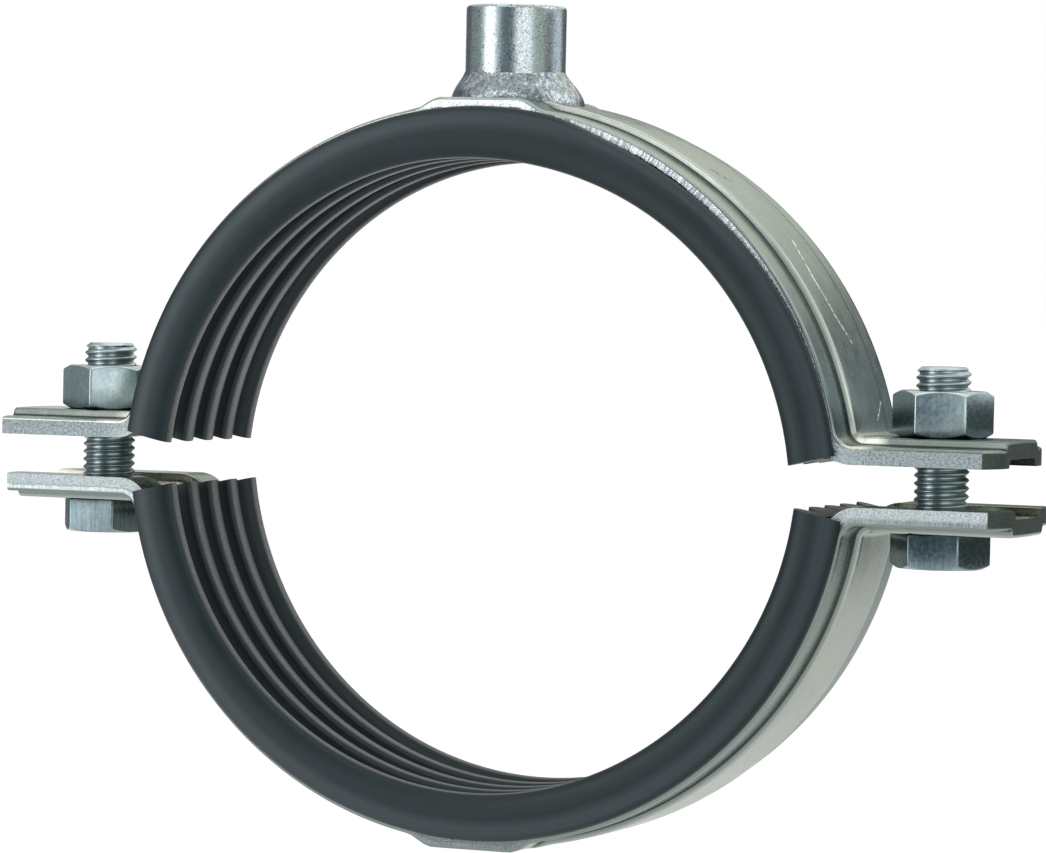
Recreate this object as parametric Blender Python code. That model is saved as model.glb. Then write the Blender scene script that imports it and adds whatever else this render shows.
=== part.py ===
"""Two-part heavy-duty pipe clamp with a ribbed rubber lining and a welded threaded boss.

Frame: metres, +Z up. The origin is the centre of the boss mouth, where the clamp hangs on
its threaded rod. The pipe runs along Y and the two bolts stand at +X and -X.
Heights named z are measured from the closing plane, half-way between the two halves, and
PIPE_DROP carries them into the frame.
"""
import math

import bmesh
import bpy

GAP = 0.0003  # clearance between pieces that touch on the real clamp

# Rubber lining, from its ridges outwards
RIDGE_RADIUS = 0.0748
RIB_HEIGHT = 0.0045
LINING_WEB = 0.0025
RIB_PITCH = 0.0098
RIB_SHIFT_Y = -0.0013
RIB_FRONT_RUN = 0.0016  # steep front flank
RIB_BACK_RUN = 0.0072  # long rounded back
RIB_BACK_STEPS = 4
LIP_FRONT_Y = 0.0226
LIP_RIDGE_Y = 0.0195
LIP_BACK_RUN = 0.0024
LIP_RISE = 0.0031
LIP_ROUND_POWER = 0.72  # 1 would be an ellipse, and less is squarer
LIP_STEPS = 8
LINING_END_RISE = 0.0095  # the ridges' cut ends, above the arc's centre
LINING_END_LEAN = 0.235  # rise of the slanted cut per unit outwards

# Pressed half-shells
BAND_WIDTH = 0.040
BAND_THICKNESS = 0.004
EAR_GAP = 0.009
ARC_CENTRE_OFFSET = {"upper": 0.0055, "lower": 0.0042}  # each arc's centre is beyond the closing plane
LOWER_SHIFT_X = 0.0015  # the lower half sits aside by what play its bolt holes leave
BEND_MID_RADIUS = 0.0055
BOLT_FROM_BAND = 0.0189
EAR_BEYOND_BOLT = 0.0188
EAR_HOLE_PLAY = 0.00107
EAR_CORNER_CUT = 0.0025
EAR_CORNER_START_Y = 0.0130
SHEAR_ROLL = 0.0007  # rounding left on the outer edge by the shear

# Stiffening bead, pressed outward along the middle of each band and both its ears
BEAD_RAISE = 0.0017
BEAD_OUTER_HALF_WIDTH = 0.0103
BEAD_INNER_HALF_WIDTH = 0.0087
BEAD_FLANK_RUN = 0.0019
BEAD_FLANK_STEPS = 4

# Flat pad pressed across the full width at the middle of each arc
PAD_RISE = 0.0013
PAD_HALF_LENGTH = 0.0090
PAD_FLANK_END = 0.0155
PAD_FLANK_STEPS = 4

# Connection boss, from its bore outwards, and its fillet weld
BOSS_BORE_RADIUS = 0.0070
BOSS_MOUTH_FLARE = 0.0011
BOSS_WALL = 0.00415
BOSS_HEIGHT = 0.0206
BOSS_EDGE_ROUND = 0.0009
WELD_RUN = 0.0038
WELD_HEIGHT = 0.0052
WELD_EDGE_SHARE = 0.06  # thickness left at the weld's outer edge, over its height
WELD_HOLLOW_POWER = 1.2  # 1 would be a straight fillet, and more is hollower
WELD_RIPPLES = 16
WELD_RIPPLE_DEPTH = 0.00016
WELD_RIPPLE_SWEEP = 0.55

# M12 bolts and nuts
BOLT_RADIUS = 0.00593
BOLT_LENGTH = 0.0360
BOLT_TIP_CHAMFER = 0.0011
HEAD_HEIGHT = 0.0075
NUT_HEIGHT = 0.0100
HEX_ACROSS_FLATS = 0.0190
HEX_CHAMFER_ANGLE = math.radians(30.0)
HEX_CHAMFER_SHARE = 0.97  # radius of the round end face over half the width across flats
NUT_BORE_PLAY = 0.00032
NUT_COUNTERSINK = 0.00055
NUT_TURN = {"left": math.radians(33.0), "right": math.radians(15.3)}
HEAD_TURN = {"left": math.radians(3.6), "right": math.radians(9.1)}

# Facets
ARC_STEPS = 12
BEND_STEPS = 5
LINING_STEPS = 28
ROUND_STEPS = 32
BOSS_STEPS = 40
WELD_STEPS = 48
HEX_STEPS = 48

VALLEY_RADIUS = RIDGE_RADIUS + RIB_HEIGHT
LINING_BACK_RADIUS = VALLEY_RADIUS + LINING_WEB
BAND_INNER_RADIUS = LINING_BACK_RADIUS + GAP
LIP_OUTER_RADIUS = BAND_INNER_RADIUS + LIP_RISE
PAD_RADIUS = BAND_INNER_RADIUS + BAND_THICKNESS + PAD_RISE
BOLT_X = BAND_INNER_RADIUS + BOLT_FROM_BAND
EAR_END_X = BOLT_X + EAR_BEYOND_BOLT
EAR_HOLE_RADIUS = BOLT_RADIUS + EAR_HOLE_PLAY
NUT_BORE_RADIUS = BOLT_RADIUS + NUT_BORE_PLAY
BOSS_RADIUS = BOSS_BORE_RADIUS + BOSS_WALL
BOSS_MOUTH_RADIUS = BOSS_BORE_RADIUS + BOSS_MOUTH_FLARE
PAD_Z = PAD_RADIUS - ARC_CENTRE_OFFSET["upper"]
PIPE_DROP = PAD_Z + GAP + BOSS_HEIGHT
EAR_FACE_Z = EAR_GAP / 2
SEAT_Z = EAR_FACE_Z + BAND_THICKNESS + BEAD_RAISE + GAP
BEND_CENTRE_Z = EAR_FACE_Z + BAND_THICKNESS / 2 + BEND_MID_RADIUS
BEND_REACH = BAND_INNER_RADIUS + BAND_THICKNESS / 2 + BEND_MID_RADIUS


def clear_objects():
    for obj in list(bpy.data.objects):
        bpy.data.objects.remove(obj, do_unlink=True)


def make_material(name, colour, roughness, metallic):
    material = bpy.data.materials.new(name)
    material.use_nodes = True
    shader = material.node_tree.nodes["Principled BSDF"]
    shader.inputs["Base Color"].default_value = (*colour, 1.0)
    shader.inputs["Roughness"].default_value = roughness
    shader.inputs["Metallic"].default_value = metallic
    return material


def add_body(name, points, faces, material=None, smooth_angle=35.0):
    """One closed body, given with z from the closing plane, placed in the frame."""
    mesh = bpy.data.meshes.new(name)
    mesh.from_pydata([(x, y, z - PIPE_DROP) for x, y, z in points], [], faces)
    work = bmesh.new()
    work.from_mesh(mesh)
    bmesh.ops.recalc_face_normals(work, faces=work.faces)
    work.to_mesh(mesh)
    work.free()
    mesh.shade_smooth()
    mesh.set_sharp_from_angle(angle=math.radians(smooth_angle))
    if material:
        mesh.materials.append(material)
    obj = bpy.data.objects.new(name, mesh)
    bpy.context.scene.collection.objects.link(obj)
    return obj


def add_boolean(target, tool, operation):
    cut = target.modifiers.new(tool.name, "BOOLEAN")
    cut.operation = operation
    cut.solver = "EXACT"
    cut.object = tool
    tool.hide_render = True
    tool.display_type = "WIRE"


def smooth_step(value):
    share = min(max(value, 0.0), 1.0)
    return share * share * (3.0 - 2.0 * share)


def bead_rows(half_width, level):
    """One side of the pressed section, from the band edge to the bead's flat, as (y, height)."""
    edge = BAND_WIDTH / 2
    rows = [(edge, level), (edge - SHEAR_ROLL * 0.3, level), (edge - SHEAR_ROLL, level)]
    for step in range(BEAD_FLANK_STEPS + 1):
        share = step / BEAD_FLANK_STEPS
        y = half_width + BEAD_FLANK_RUN * (0.5 - share)
        rows.append((y, level + BEAD_RAISE * smooth_step(share)))
    return rows


def shell_section():
    """Matched outer and inner rows of the band section, running from -Y to +Y."""
    outer = bead_rows(BEAD_OUTER_HALF_WIDTH, BAND_THICKNESS)
    inner = bead_rows(BEAD_INNER_HALF_WIDTH, 0.0)
    outer[0] = (outer[0][0], BAND_THICKNESS - SHEAR_ROLL)
    outer[1] = (outer[1][0], BAND_THICKNESS - SHEAR_ROLL * 0.3)
    pairs = list(zip(outer, inner))
    left = [((-oy, oh), (-iy, ih)) for (oy, oh), (iy, ih) in pairs]
    return left + pairs[::-1]


def outer_height(y):
    """Height of the outer surface over the band's inner face, away from the pad."""
    share = (BEAD_OUTER_HALF_WIDTH + BEAD_FLANK_RUN / 2 - abs(y)) / BEAD_FLANK_RUN
    return BAND_THICKNESS + BEAD_RAISE * smooth_step(share)


def pad_share(x):
    return smooth_step((PAD_FLANK_END - abs(x)) / (PAD_FLANK_END - PAD_HALF_LENGTH))


def shell_top(x, y):
    """Height of the upper shell's outer surface above the closing plane."""
    reach = PAD_RADIUS
    for _ in range(8):
        rise = math.sqrt(reach * reach - x * x) / reach
        arc = BAND_INNER_RADIUS + outer_height(y)
        reach = arc + (PAD_RADIUS / rise - arc) * pad_share(x)
    return math.sqrt(reach * reach - x * x) - ARC_CENTRE_OFFSET["upper"]


def half_stations(centre_offset):
    """Right half of the band's path: (x, z, normal x, normal z, pad share) per station."""
    centre_rise = BEND_CENTRE_Z + centre_offset
    bend_centre_x = math.sqrt(BEND_REACH ** 2 - centre_rise ** 2)
    arc_end_angle = math.asin(centre_rise / BEND_REACH)
    stations = [(EAR_END_X, EAR_FACE_Z, 0.0, 1.0, 0.0)]
    turn = math.pi / 2 - arc_end_angle
    outer_bend = BEND_MID_RADIUS + BAND_THICKNESS / 2
    for step in range(BEND_STEPS + 1):
        angle = math.pi / 2 - turn * step / BEND_STEPS
        nx = math.cos(angle)
        nz = math.sin(angle)
        x = bend_centre_x - outer_bend * nx
        z = BEND_CENTRE_Z - outer_bend * nz
        stations.append((x, z, nx, nz, 0.0))
    pad_angle = math.acos(PAD_FLANK_END / PAD_RADIUS)
    angles = [arc_end_angle + (pad_angle - arc_end_angle) * step / ARC_STEPS
              for step in range(1, ARC_STEPS + 1)]
    flank = PAD_FLANK_END - PAD_HALF_LENGTH
    for step in range(1, PAD_FLANK_STEPS + 1):
        angles.append(math.acos((PAD_FLANK_END - flank * step / PAD_FLANK_STEPS) / PAD_RADIUS))
    angles.append(math.pi / 2)
    for angle in angles:
        nx = math.cos(angle)
        nz = math.sin(angle)
        x = BAND_INNER_RADIUS * nx
        z = BAND_INNER_RADIUS * nz - centre_offset
        stations.append((x, z, nx, nz, pad_share(PAD_RADIUS * nx)))
    return stations


def add_half_shell(half, side, shift, material):
    """Pressed half: ear, bend, arc with its bead and pad, bend, ear."""
    right = half_stations(ARC_CENTRE_OFFSET[half])
    left = [(-x, z, -nx, nz, share) for x, z, nx, nz, share in right[-2::-1]]
    stations = right + left
    section = shell_section()
    columns = len(section)
    points = []
    for place, (x, z, nx, nz, share) in enumerate(stations):
        at_end = place in (0, len(stations) - 1)
        for row in (0, 1):
            for pair in section:
                y, height = pair[row]
                if share > 0.0:
                    flat = PAD_RADIUS / nz - BAND_INNER_RADIUS - row * BAND_THICKNESS
                    height += (flat - height) * share
                px = x + nx * height
                pz = z + nz * height
                if at_end:
                    corner = max(0.0, abs(y) - EAR_CORNER_START_Y)
                    corner /= BAND_WIDTH / 2 - EAR_CORNER_START_Y
                    px -= math.copysign(EAR_CORNER_CUT * corner, x)
                points.append((px + shift, y, side * pz))
    faces = []
    ring = 2 * columns
    for place in range(len(stations) - 1):
        here = place * ring
        there = here + ring
        for column in range(columns - 1):
            for row in (0, columns):
                a = row + column
                faces.append((here + a, here + a + 1, there + a + 1, there + a))
        for a in (0, columns - 1):
            b = a + columns
            faces.append((here + a, here + b, there + b, there + a))
    for base in (0, (len(stations) - 1) * ring):
        for column in range(columns - 1):
            a = base + column
            b = a + columns
            faces.append((a, a + 1, b + 1, b))
    return add_body(half + "_half_shell", points, faces, material)


def add_ear_holes(shell, side, shift):
    for label, x in (("left", shift - BOLT_X), ("right", shift + BOLT_X)):
        reach = 2 * BAND_THICKNESS
        middle = side * (EAR_FACE_Z + BAND_THICKNESS / 2)
        profile = [(EAR_HOLE_RADIUS, middle - reach), (EAR_HOLE_RADIUS, middle + reach)]
        drill = add_turned(shell.name + "_hole_" + label, profile, ROUND_STEPS, x)
        add_boolean(shell, drill, "DIFFERENCE")


def add_turned(name, profile, steps, x=0.0, material=None, closed=False):
    """Body turned about a vertical axis at x. The profile runs as (radius, z)."""
    points = []
    for step in range(steps):
        angle = 2 * math.pi * step / steps
        for radius, z in profile:
            points.append((x + radius * math.cos(angle), radius * math.sin(angle), z))
    rows = len(profile)
    faces = []
    for step in range(steps):
        here = step * rows
        there = (step + 1) % steps * rows
        for row in range(rows if closed else rows - 1):
            after = (row + 1) % rows
            faces.append((here + row, there + row, there + after, here + after))
    if not closed:
        for row in (0, rows - 1):
            faces.append([step * rows + row for step in range(steps)])
    return add_body(name, points, faces, material)


def add_hexagon(name, x, low, high, turn, material=None):
    radius = HEX_ACROSS_FLATS / 2 / math.cos(math.pi / 6)
    points = []
    for z in (low, high):
        for corner in range(6):
            angle = turn + corner * math.pi / 3
            points.append((x + radius * math.cos(angle), radius * math.sin(angle), z))
    faces = [(k, (k + 1) % 6, 6 + (k + 1) % 6, 6 + k) for k in range(6)]
    faces += [tuple(range(6)), tuple(range(6, 12))]
    return add_body(name, points, faces, material)


def chamfer_profile(low, high, cut_low, cut_high):
    """Outline of the blank that rounds off the corners of a hexagon at its end faces."""
    face_radius = HEX_ACROSS_FLATS / 2 * HEX_CHAMFER_SHARE
    reach = HEX_ACROSS_FLATS * 0.66
    drop = (reach - face_radius) * math.tan(HEX_CHAMFER_ANGLE)
    profile = [(face_radius, low), (reach, low + drop)] if cut_low else [(reach, low - GAP)]
    profile += [(reach, high - drop), (face_radius, high)] if cut_high else [(reach, high + GAP)]
    return profile


def add_nut(side_name, x, material):
    low = SEAT_Z
    high = SEAT_Z + NUT_HEIGHT
    nut = add_hexagon("nut_" + side_name, x, low, high, NUT_TURN[side_name], material)
    blank = add_turned("nut_blank_" + side_name, chamfer_profile(low, high, True, True), HEX_STEPS, x)
    add_boolean(nut, blank, "INTERSECT")
    sink = NUT_COUNTERSINK
    profile = [(NUT_BORE_RADIUS + 2 * sink, low - sink), (NUT_BORE_RADIUS, low + sink),
               (NUT_BORE_RADIUS, high - sink), (NUT_BORE_RADIUS + 2 * sink, high + sink)]
    bore = add_turned("nut_bore_" + side_name, profile, ROUND_STEPS, x)
    add_boolean(nut, bore, "DIFFERENCE")
    return nut


def add_bolt(side_name, x, material):
    high = -SEAT_Z
    low = high - HEAD_HEIGHT
    tip = high + BOLT_LENGTH
    bolt = add_hexagon("bolt_" + side_name, x, low, high, HEAD_TURN[side_name], material)
    blank = add_turned("head_blank_" + side_name, chamfer_profile(low, high, True, False), HEX_STEPS, x)
    add_boolean(bolt, blank, "INTERSECT")
    profile = [(BOLT_RADIUS, high - HEAD_HEIGHT / 2), (BOLT_RADIUS, tip - BOLT_TIP_CHAMFER),
               (BOLT_RADIUS - BOLT_TIP_CHAMFER, tip)]
    shank = add_turned("shank_" + side_name, profile, ROUND_STEPS, x)
    add_boolean(bolt, shank, "UNION")
    return bolt


def add_boss(material):
    low = PAD_Z + GAP
    high = PIPE_DROP
    profile = [(BOSS_BORE_RADIUS, low), (BOSS_BORE_RADIUS, high - BOSS_MOUTH_FLARE),
               (BOSS_MOUTH_RADIUS, high), (BOSS_RADIUS - BOSS_EDGE_ROUND, high)]
    for share in (1 / 3, 2 / 3, 1.0):
        angle = share * math.pi / 2
        profile.append((BOSS_RADIUS - BOSS_EDGE_ROUND * (1 - math.sin(angle)),
                        high - BOSS_EDGE_ROUND * (1 - math.cos(angle))))
    profile.append((BOSS_RADIUS, low))
    return add_turned("connection_boss", profile, BOSS_STEPS, material=material, closed=True)


def add_weld(material):
    """Rippled fillet round the foot of the boss, its underside following the shell."""
    inner = BOSS_RADIUS + GAP
    fillet = []
    for share in (0.0, 0.14, 0.32, 0.54, 0.77, 1.0):
        hollow = (1.0 - share) ** WELD_HOLLOW_POWER
        fillet.append((share, WELD_EDGE_SHARE + (1.0 - WELD_EDGE_SHARE) * hollow))
    underside = (1.0, 0.5, 0.0)
    points = []
    for step in range(WELD_STEPS):
        angle = 2 * math.pi * step / WELD_STEPS
        cosine = math.cos(angle)
        sine = math.sin(angle)
        for share, rise in fillet:
            wave = math.cos(WELD_RIPPLES * (angle + WELD_RIPPLE_SWEEP * share))
            swell = WELD_RIPPLE_DEPTH * wave * math.sin(math.pi * min(share + 0.1, 1.0))
            radius = inner + WELD_RUN * share + swell
            foot = shell_top(radius * cosine, radius * sine) + GAP
            crest = PAD_Z + GAP + WELD_HEIGHT
            points.append((radius * cosine, radius * sine, foot + (crest - foot) * rise + swell))
        for share in underside:
            radius = inner + WELD_RUN * share
            points.append((radius * cosine, radius * sine,
                           shell_top(radius * cosine, radius * sine) + GAP))
    rows = len(fillet) + len(underside)
    faces = []
    for step in range(WELD_STEPS):
        here = step * rows
        there = (step + 1) % WELD_STEPS * rows
        for row in range(rows):
            after = (row + 1) % rows
            faces.append((here + row, there + row, there + after, here + after))
    return add_body("boss_weld", points, faces, material, smooth_angle=50.0)


def rounded_back(ridge_y, run):
    """Quarter ellipse from a ridge back to the valley behind it, as (y, radius)."""
    rows = []
    for step in range(RIB_BACK_STEPS + 1):
        angle = math.pi / 2 * step / RIB_BACK_STEPS
        rows.append((ridge_y + run * math.sin(angle), VALLEY_RADIUS - RIB_HEIGHT * math.cos(angle)))
    return rows


def rib_rows(peak_y):
    """One rib: steep front flank, rounded crest and long convex back."""
    foot = (peak_y - RIB_FRONT_RUN, VALLEY_RADIUS)
    shoulder = (peak_y - RIB_FRONT_RUN * 0.3, RIDGE_RADIUS + RIB_HEIGHT * 0.12)
    return [foot, shoulder] + rounded_back(peak_y, RIB_BACK_RUN)


def lip_rows():
    """Front lip from the band's inner face, round the band's edge, to the valley behind it."""
    edge = BAND_WIDTH / 2 + GAP
    middle = (LIP_OUTER_RADIUS + RIDGE_RADIUS) / 2
    half = (LIP_OUTER_RADIUS - RIDGE_RADIUS) / 2
    rows = [(-edge, LINING_BACK_RADIUS)]
    for step in range(LIP_STEPS + 1):
        angle = math.pi * step / LIP_STEPS
        outward = max(math.sin(angle), 0.0) ** LIP_ROUND_POWER
        swing = math.copysign(abs(math.cos(angle)) ** LIP_ROUND_POWER, math.cos(angle))
        rows.append((-edge - (LIP_FRONT_Y - edge) * outward, middle + half * swing))
    return rows + rounded_back(-LIP_RIDGE_Y, LIP_BACK_RUN)


def lining_section():
    front = lip_rows()
    back = [(-y, radius) for y, radius in reversed(front)]
    ribs = []
    for place in (-1, 0, 1):
        ribs += rib_rows(RIB_SHIFT_Y + place * RIB_PITCH)
    return front + ribs + back


def lining_end_angle(radius):
    """Angle, seen from the arc's centre, at which a radius meets the slanted end cut."""
    x = radius
    for _ in range(12):
        z = LINING_END_RISE + (x - RIDGE_RADIUS) * LINING_END_LEAN
        x = math.sqrt(radius * radius - z * z)
    return math.atan2(z, x)


def add_lining(half, side, shift, material):
    section = lining_section()
    columns = len(section)
    first_cut = lining_end_angle(LIP_OUTER_RADIUS)
    inset = math.radians(3.0)
    points = []
    for step in range(LINING_STEPS + 1):
        share = (step - 1) / (LINING_STEPS - 2)
        for y, radius in section:
            if step == 0:
                angle = lining_end_angle(radius)
            elif step == LINING_STEPS:
                angle = math.pi - lining_end_angle(radius)
            else:
                angle = first_cut + inset + (math.pi - 2 * (first_cut + inset)) * share
            points.append((radius * math.cos(angle) + shift, y,
                           side * (radius * math.sin(angle) - ARC_CENTRE_OFFSET[half])))
    faces = []
    for step in range(LINING_STEPS):
        here = step * columns
        there = here + columns
        for column in range(columns):
            after = (column + 1) % columns
            faces.append((here + column, here + after, there + after, there + column))
    faces.append(tuple(range(columns)))
    faces.append(tuple(LINING_STEPS * columns + column for column in range(columns)))
    return add_body(half + "_rubber_lining", points, faces, material)


def build():
    clear_objects()
    zinc = make_material("zinc_plated_band", (0.28, 0.32, 0.30), 0.34, 1.0)
    boss_zinc = make_material("zinc_plated_boss", (0.32, 0.37, 0.38), 0.30, 1.0)
    weld_metal = make_material("weld_metal", (0.30, 0.34, 0.35), 0.36, 1.0)
    bolt_zinc = make_material("zinc_plated_bolt", (0.20, 0.26, 0.28), 0.28, 1.0)
    nut_zinc = make_material("zinc_plated_nut", (0.24, 0.30, 0.32), 0.26, 1.0)
    rubber = make_material("black_rubber", (0.012, 0.017, 0.019), 0.50, 0.0)
    for half, side, shift in (("upper", 1, 0.0), ("lower", -1, LOWER_SHIFT_X)):
        shell = add_half_shell(half, side, shift, zinc)
        add_ear_holes(shell, side, shift)
        add_lining(half, side, shift, rubber)
    add_boss(boss_zinc)
    add_weld(weld_metal)
    between = LOWER_SHIFT_X / 2
    for side_name, x in (("left", between - BOLT_X), ("right", between + BOLT_X)):
        add_bolt(side_name, x, bolt_zinc)
        add_nut(side_name, x, nut_zinc)


build()
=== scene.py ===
"""Looks of the two-part pipe clamp: plated half-shells, ribbed rubber linings, welded boss,
threaded bolts and nuts, a pale floor, soft studio light and the photograph's camera.

Shapes are worked out in millimetres with z from the closing plane, and add_piece() carries
them into the frame, whose origin is the centre of the boss mouth.
"""

from math import acos, asin, atan2, ceil, copysign, cos, degrees, dist, exp, pi, radians, sin, sqrt, tan

import bpy
import numpy as np
from mathutils import Matrix, Vector
from mathutils.kdtree import KDTree


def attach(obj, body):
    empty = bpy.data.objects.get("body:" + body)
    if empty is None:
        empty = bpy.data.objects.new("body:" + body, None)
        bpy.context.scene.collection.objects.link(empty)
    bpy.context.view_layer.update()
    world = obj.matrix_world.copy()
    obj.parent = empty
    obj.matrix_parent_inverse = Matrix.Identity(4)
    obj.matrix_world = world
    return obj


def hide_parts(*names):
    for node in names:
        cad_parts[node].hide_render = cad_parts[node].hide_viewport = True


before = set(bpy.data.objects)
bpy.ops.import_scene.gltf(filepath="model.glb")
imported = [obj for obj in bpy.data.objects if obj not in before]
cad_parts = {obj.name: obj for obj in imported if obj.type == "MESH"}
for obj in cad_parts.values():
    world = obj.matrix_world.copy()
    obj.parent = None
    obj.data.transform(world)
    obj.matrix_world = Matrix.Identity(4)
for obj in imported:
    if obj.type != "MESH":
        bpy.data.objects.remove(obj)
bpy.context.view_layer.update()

MM = 0.001
PIPE_DROP = 102.8  # from the boss mouth down to the closing plane
SEAT_GAP = 0.3

# Half-shells
BAND_HALF = 20
BAND_THICKNESS = 4
BAND_INNER = 82.1
BAND_OUTER = BAND_INNER + BAND_THICKNESS
CENTRE_OFFSET = {1: 5.5, -1: 4.2}  # by side: the upper half is 1, the lower is -1
SHIFT = {1: 0, -1: 1.5}  # how far each half sits towards the right
EAR_FACE_Z = 4.5
EAR_END_X = 119.8
EAR_CORNER_CUT = 2.5
EAR_CORNER_START = 13
EAR_CORNER_POWER = 1.3
EAR_HOLE = 7
HOLE_SIDES = 64
DRILL_REACH = 20
BEND_RADIUS = 5.5
BEND_STEPS = 16
ARC_STEPS = 76
EDGE_ROLL = 0.7
BEAD_RAISE = 1.7
BEAD_OUTER_HALF = 10.3
BEAD_INNER_HALF = 8.7
BEAD_RUN = 1.1
BEAD_ARC_SHARE = 0.8  # the bead is pressed a little less deep on the arcs than on the ears
BEAD_CROWN = 0.12
PAD_RADIUS = 87.4
PAD_HALF = 9
PAD_FLANK_END = 15.5
PAD_Z = PAD_RADIUS - CENTRE_OFFSET[1]
SEAT_Z = EAR_FACE_Z + BAND_THICKNESS + BEAD_RAISE + SEAT_GAP

# Rubber linings
RIDGE = 74.8
VALLEY = 79.3
LIP_OUTER = 85.2
LIP_FRONT = 22.6
LIP_RIDGE = 19.5
LIP_BACK_RUN = 2.4
LIP_ROUND_POWER = 0.85
LIP_START = 20.2
LIP_REACH = {  # by side: degrees round the arc, and how far the lip's top stands out there
    1: ([0, 20, 30, 40, 48, 60, 70, 78, 90, 105, 180],
        [0, 0, -0.2, -0.7, -1.2, -1.5, -1.1, 0.15, 0.3, 0.2, 0.3]),
    -1: ([0, 30, 60, 90, 180], [0.4, 0.5, 0.3, 0, 0.2]),
}
RIB_PITCH = 9.8
RIB_SHIFT = -1.3
RIB_FRONT_RUN = 1.6
RIB_BACK_RUN = 7.2
LINING_STEPS = 200
LINING_END_Z = 9.5
LINING_END_SLOPE = 0.235
LINING_END_STRIP = radians(2.5)
SAG_DEPTH = 0.9
SAG_ANGLE = 80
SAG_SPREAD = 24

# Bolts and nuts
BOLT_X = 101
BOLT_RADIUS = 5.93
BOLT_ROOT = 5.2
BOLT_TIP_RADIUS = 4.75
CONTACT = 0.16  # nuts and heads sit this much closer to the bead than their solids do
PITCH = 1.75
BOLT_LENGTH = 36
HEAD_HEIGHT = 7.5
NUT_HEIGHT = 10
NUT_CREST = 6.28
NUT_ROOT = 5.3
NUT_MOUTH = 6.8
HEX_HALF = 9.5
HEX_CORNER = 0.5
HEX_FACE = HEX_HALF * 0.965
NUT_TURN = {"left": 33, "right": 15.3}
HEAD_TURN = {"left": 3.6, "right": 9.1}
THREAD_PROFILE = [(0, 1), (0.075, 0.97), (0.17, 0.77), (0.27, 0.45), (0.37, 0.14), (0.44, 0.02),
                  (0.56, 0.02), (0.63, 0.14), (0.73, 0.45), (0.83, 0.77), (0.925, 0.97)]

# Boss and weld
BOSS_RADIUS = 11.15
BOSS_RIM = 0.9
BOSS_MOUTH = 8.2
BOSS_CREST = 8
BOSS_ROOT = 6.95
BOSS_PITCH = 2
BOSS_COLUMNS = 128
WELD_RUN = 3.85
WELD_WIDENING = 0.6
WELD_WIDE_SIDE = radians(23)
WELD_HEIGHT = 5.75
WELD_TOE = 0.3
WELD_CRESCENTS = 36
WELD_SWELL = 0.045
WELD_LEAN = 0.16
WELD_COLUMNS = 320

# Marks on the finishes, painted highlights and painted shade among them. Two places are where a
# mark starts and is full, and four are where it starts, is full, begins to fade and is gone.
# Heights are from the boss mouth.
LOWER_HALF = (-PIPE_DROP, -PIPE_DROP - 1)
LEFT_TO_RIGHT = (-10, 10)
BEAD_MARGIN = (10.7, 11.1)
EAR_ROOT = (88, 93)
BOLT_SURROUND = (12.5, 21.5)
BEND_HIGHLIGHT_SIDES = (85, 88, 90.5, 93.5)
BEND_HIGHLIGHT_HEIGHTS = (-88.5, -92.5)
HOLLOW_HIGHLIGHT_SIDES = (10, 9.5)
HOLLOW_HIGHLIGHT_HEIGHTS = (-110.2, -109.7, -107, -106.5)
LOW_ARC_SHADE_HEIGHTS = (-93.5, -89.5, -80, -48)
FLANK_SIDES = (-0.55, -0.4, 0.36, 0.52)
FLANK_LIT = (0.12, -0.14)
FLANK_LIT_HEIGHTS = (-92.5, -86)
FLANK_SHADED = (-0.2, 0.1)
FLANK_FOOT = 0.5
FLANK_FOOT_LINE = (0.12, 0.24)
TORN_DEPTHS = (2.05, 2.45)
SHEARED_EAR_SIDES = (78, 92)
SHEARED_EAR_HEIGHTS = (-103.2, -102.4)
CROWN_HEIGHTS = (-75, -30)
SHEARED_PAD_SIDES = (10.5, 14.5)
SHEARED_FOOT_HEIGHTS = (-176, -181)
RIB_CREST = (4.1, 4.5)
RIB_SHOULDER_SHEEN = (3.4, 4.3)
GROOVE_SIDES = (20, 18.8)
GROOVE_DEPTHS = (3.6, 1.6)
LIP_HIGHLIGHT_BAND = (-5.7, -4.5, -3, -1)
CREST_HIGHLIGHT_REACH = (20, 55)

# Scuffs on the upper bead, each along places as (degrees round the arc, y)
DARK_SCUFFS = [[(55.75, -4.5), (54.4, -3.4)], [(54.3, -3), (53.4, -1.8)]]
LIGHT_SCUFFS = [[(41, 1), (37, -1.4), (34, -2.25), (28.25, -1.5), (24, 1.75)],
                [(19.5, -5), (19.2, -4.9)], [(15.2, 9), (12.5, 4.25)]]
DARK_SCUFF_WIDTH = 1.15
LIGHT_SCUFF_WIDTH = 0.48

# Studio: name, azimuth, elevation and distance, then the size and the brightness or colour
SOFTBOXES = [
    ("overhead", 100, 70, 1.3, (1.2, 0.8), 1.3),
    ("top_front", -98, 50, 1.5, (1.2, 0.32), 2.4),
    ("left_front", -129, 8, 1.35, (0.52, 1.1), 3.8),
    ("right_front", -46, 8, 1.5, (1.15, 0.7), 1.25),
    ("right_high", 25, 36, 1.3, (0.8, 0.7), 1.6),
]
CARDS = [
    ("card_front", -87, 0, 1.3, (0.82, 1.5), (0.145, 0.225, 0.27)),
    ("card_side", -13, 0, 1.3, (0.72, 1.5), (0.72, 0.82, 0.72)),
    ("card_right", 34, -3, 0.77, (0.95, 0.4), (0.085, 0.105, 0.105)),
    ("strip_right", 44, 14.5, 0.362, (0.2, 0.09), (1.2, 1.32, 1.42)),
    ("card_back", 92, 8.3, 1.4, (1.45, 0.49), (0.13, 0.15, 0.145)),
    ("card_back_high", 92, 34, 1.35, (1.5, 0.62), (1.5, 1.5, 1.35)),
    ("card_front_high", -25, 56, 1.4, (1.1, 0.6), (0.95, 1, 0.95)),
    ("card_left", 192, 0, 1.3, (0.95, 1.4), (0.42, 0.46, 0.46)),
    ("card_far_left", 150, 0, 1.3, (0.98, 1.4), (0.16, 0.2, 0.22)),
]
FLOOR_Z = -0.46
FLOOR_HALF = 30
FLOOR_GLOW = 0.58
WORLD_LEVEL = 0.5

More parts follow.
